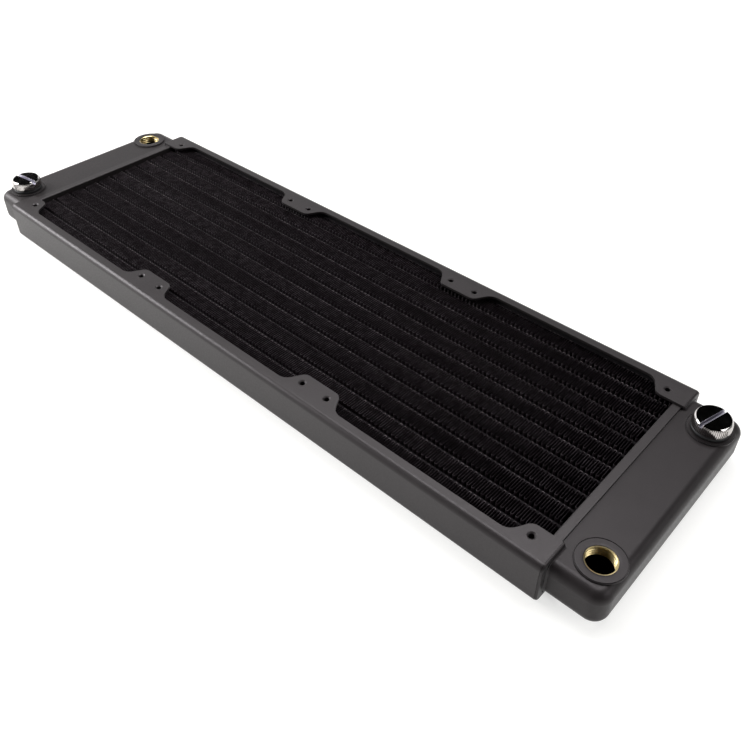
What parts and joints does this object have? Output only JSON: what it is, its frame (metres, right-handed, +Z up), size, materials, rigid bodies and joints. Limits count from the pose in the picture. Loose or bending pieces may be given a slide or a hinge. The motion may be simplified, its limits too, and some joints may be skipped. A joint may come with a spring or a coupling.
{
  "type": "liquid cooling radiator",
  "caption": "Slim black flat-tube radiator for computer liquid cooling: folded fin core between end tanks, scalloped fan flanges, threaded corner ports, screw-in stop plugs.",
  "frame": {"origin": "middle of the footprint, on the bottom face of the side frames", "axes": "+X along the length towards the right end tank, +Y across the width towards the rear side frame, +Z up through the thickness"},
  "size_m": [0.4132, 0.124, 0.0263],
  "materials": {
    "black_paint": "satin powder coat",
    "black_fins": "thin satin paint on folded copper sheet",
    "black_tubes": "thin satin paint on brass tube",
    "brass": "machined",
    "black_chrome": "polished dark plating",
    "seal_rubber": "matte"
  },
  "bodies": {
    "root": {"front_side_frame": "black_paint", "rear_side_frame": "black_paint", "left_end_tank": "black_paint", "right_end_tank": "black_paint", "left_header_tray": "black_paint", "right_header_tray": "black_paint", "tube_01": "black_tubes", "tube_02": "black_tubes", "tube_03": "black_tubes", "tube_04": "black_tubes", "tube_05": "black_tubes", "tube_06": "black_tubes", "tube_07": "black_tubes", "tube_08": "black_tubes", "tube_09": "black_tubes", "tube_10": "black_tubes", "tube_11": "black_tubes", "fin_strip_01": "black_fins", "fin_strip_02": "black_fins", "fin_strip_03": "black_fins", "fin_strip_04": "black_fins", "fin_strip_05": "black_fins", "fin_strip_06": "black_fins", "fin_strip_07": "black_fins", "fin_strip_08": "black_fins", "fin_strip_09": "black_fins", "fin_strip_10": "black_fins", "fin_strip_11": "black_fins", "fin_strip_12": "black_fins", "front_core_side_plate": "black_paint", "rear_core_side_plate": "black_paint", "front_left_port_bush": "brass", "rear_left_port_bush": "brass", "front_right_port_bush": "brass", "rear_right_port_bush": "brass"},
    "front_left_seal": {"front_left_o_ring": "seal_rubber"},
    "front_left_stop": {"front_left_plug": "black_chrome"},
    "rear_right_seal": {"rear_right_o_ring": "seal_rubber"},
    "rear_right_stop": {"rear_right_plug": "black_chrome"}
  },
  "joints": [
    {"name": "front_left_plug_turn", "type": "hinge", "parent": "front_left_seal", "child": "front_left_stop", "pos_m": [-0.1962, -0.0438, 0.0198], "axis": [0, 0, 1], "range_deg": [0, 1440]},
    {"name": "front_left_plug_lift", "type": "slide", "parent": "root", "child": "front_left_seal", "axis": [0, 0, 1], "range_m": [0, 0.00536]},
    {"name": "rear_right_plug_turn", "type": "hinge", "parent": "rear_right_seal", "child": "rear_right_stop", "pos_m": [0.1962, 0.0438, 0.0198], "axis": [0, 0, 1], "range_deg": [0, 1440]},
    {"name": "rear_right_plug_lift", "type": "slide", "parent": "root", "child": "rear_right_seal", "axis": [0, 0, 1], "range_m": [0, 0.00536]}
  ],
  "couplings": [
    {"joint": "front_left_plug_lift", "follows": "front_left_plug_turn", "m_per_rad": 0.00021279},
    {"joint": "rear_right_plug_lift", "follows": "rear_right_plug_turn", "m_per_rad": 0.00021279}
  ]
}
